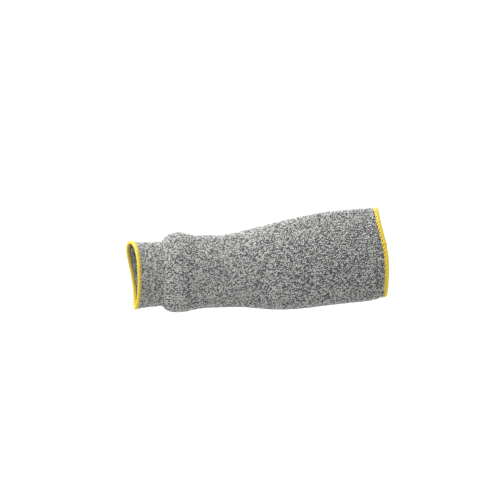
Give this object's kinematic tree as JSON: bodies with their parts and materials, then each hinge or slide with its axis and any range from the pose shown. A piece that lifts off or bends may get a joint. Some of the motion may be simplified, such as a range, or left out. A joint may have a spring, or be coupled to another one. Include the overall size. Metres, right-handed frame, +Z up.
{
  "type": "cut resistant sleeve",
  "caption": "Seamless knitted tube for the forearm in grey marl yarn, with a narrow elastic cuff and yellow overlocked edges, kept in its worn form.",
  "frame": {"origin": "on the arm's axis, in the wrist opening, where the arm goes in and holds the sleeve up", "axes": "+X along the forearm from the wrist to the elbow, +Y to the back, away from the side that the picture shows, +Z up"},
  "size_m": [0.2554, 0.0852, 0.0943],
  "materials": {
    "marl_knit": "plain knit of light and dark grey twisted yarn, matt",
    "elastic_knit": "the same yarn knitted tighter over elastic, with fine ridges round the wrist, matt",
    "yellow_thread": "overlocked bright yellow polyester thread, slight sheen"
  },
  "bodies": {
    "root": {"forearm_tube": "marl_knit", "wrist_cuff": "elastic_knit", "wrist_overlock": "yellow_thread", "elbow_overlock": "yellow_thread"}
  },
  "joints": []
}
